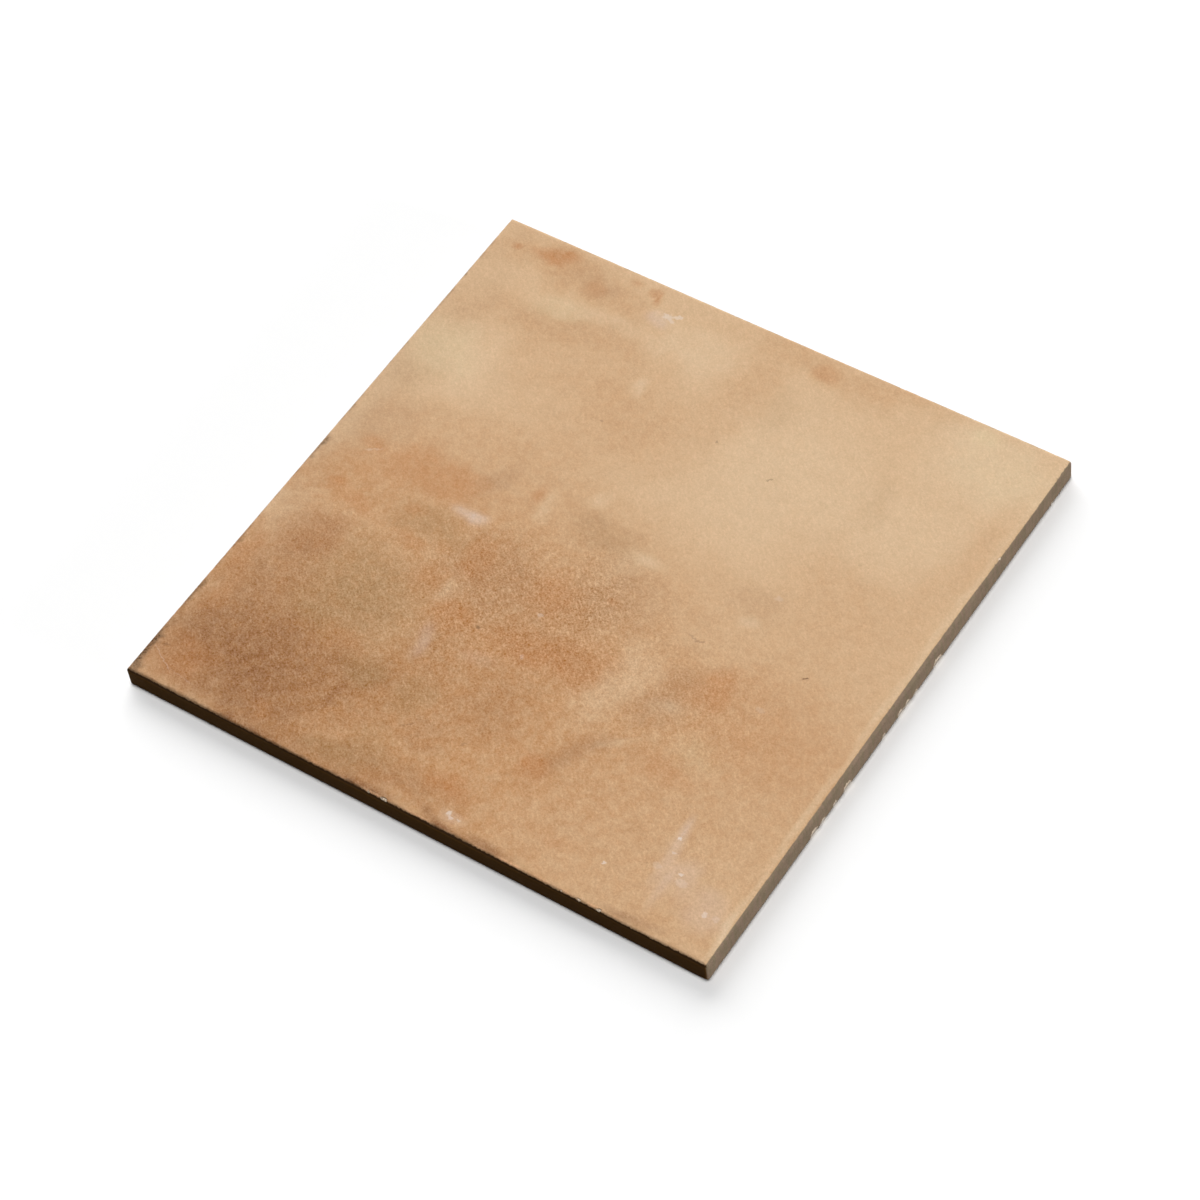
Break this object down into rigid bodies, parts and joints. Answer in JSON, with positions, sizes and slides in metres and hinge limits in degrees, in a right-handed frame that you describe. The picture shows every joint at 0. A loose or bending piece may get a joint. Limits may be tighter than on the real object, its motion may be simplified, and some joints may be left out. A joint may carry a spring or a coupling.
{
  "type": "porcelain floor tile",
  "caption": "Square porcelain tile with a mottled terracotta-look face, soft uneven face edges and a recessed grid back, for bedding on a floor or wall.",
  "frame": {"origin": "middle of the tile's back, on the surface it lies on", "axes": "+Z out of the face, +X along the front edge, +Y along the right edge"},
  "size_m": [0.2, 0.2, 0.0075],
  "materials": {
    "fired_body": "matt"
  },
  "bodies": {
    "root": {"tile": "fired_body"}
  },
  "joints": []
}
